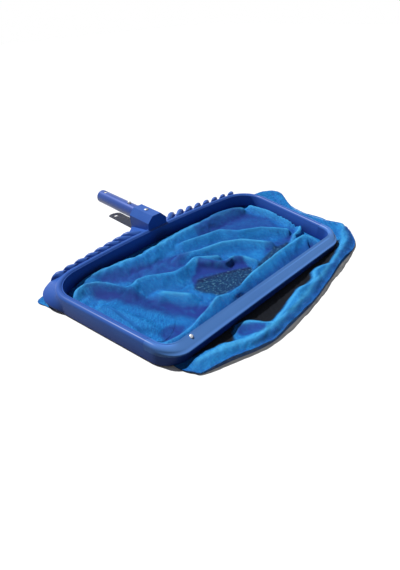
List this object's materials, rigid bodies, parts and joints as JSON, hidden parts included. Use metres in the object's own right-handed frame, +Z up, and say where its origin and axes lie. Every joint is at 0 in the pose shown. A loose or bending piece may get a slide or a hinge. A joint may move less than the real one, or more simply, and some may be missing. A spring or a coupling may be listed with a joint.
{
  "type": "leaf skimmer net",
  "caption": "Flat scoop-fronted pool leaf rake: plastic rim with a ribbed back apron, sloping lip, folded mesh bag, and a socketed handle stub with a sprung button clip.",
  "frame": {"origin": "on the floor, under the middle of the net mouth between the front edge and the back corners", "axes": "+X across the mouth, to the right when looking from the lip to the handle; +Y from the lip to the handle; +Z up"},
  "size_m": [0.6376, 0.5585, 0.0621],
  "materials": {
    "frame_plastic": "satin moulded plastic, mid blue",
    "lip_plastic": "satin moulded plastic, lighter blue",
    "strip_plastic": "moulded plastic, dark blue",
    "tube_coat": "glossy blue coat on aluminium tube",
    "net_mesh": "woven open mesh, bright blue",
    "hem_cloth": "tightly woven hem, dark blue",
    "binding_cloth": "woven seam binding, dark blue",
    "cord": "white braided cord",
    "clip_plastic": "white acetal",
    "steel": "stainless steel",
    "rivet_metal": "pale rivet"
  },
  "bodies": {
    "net": {"frame": "frame_plastic", "front_edge": "frame_plastic", "scoop_lip": "lip_plastic", "lip_rivet": "rivet_metal", "retainer_back": "strip_plastic", "retainer_left": "strip_plastic", "retainer_right": "strip_plastic", "retainer_front": "strip_plastic", "retainer_screws": "steel", "splice_left": "strip_plastic", "splice_right": "strip_plastic", "splice_screws": "steel", "net_hem": "hem_cloth", "hem_cord": "cord", "net_panel": "net_mesh", "gusset_left": "net_mesh", "gusset_right": "net_mesh", "seam_left": "binding_cloth", "seam_right": "binding_cloth", "handle_tube": "tube_coat", "socket_screw": "steel", "socket_nut": "steel", "clip_bend": "clip_plastic"},
    "upper_arm": {"clip_arm_upper": "clip_plastic"},
    "lower_arm": {"clip_arm_lower": "clip_plastic"}
  },
  "joints": [
    {"name": "upper_button", "type": "hinge", "parent": "net", "child": "upper_arm", "pos_m": [0, 0.1945, 0.0465], "axis": [1, 0, 0], "range_deg": [-5.9, 0], "stiffness_Nm_per_rad": 4, "springref_deg": 3.44},
    {"name": "lower_button", "type": "hinge", "parent": "net", "child": "lower_arm", "pos_m": [0, 0.1945, 0.0365], "axis": [1, 0, 0], "range_deg": [0, 5.9], "stiffness_Nm_per_rad": 4, "springref_deg": -3.44}
  ]
}
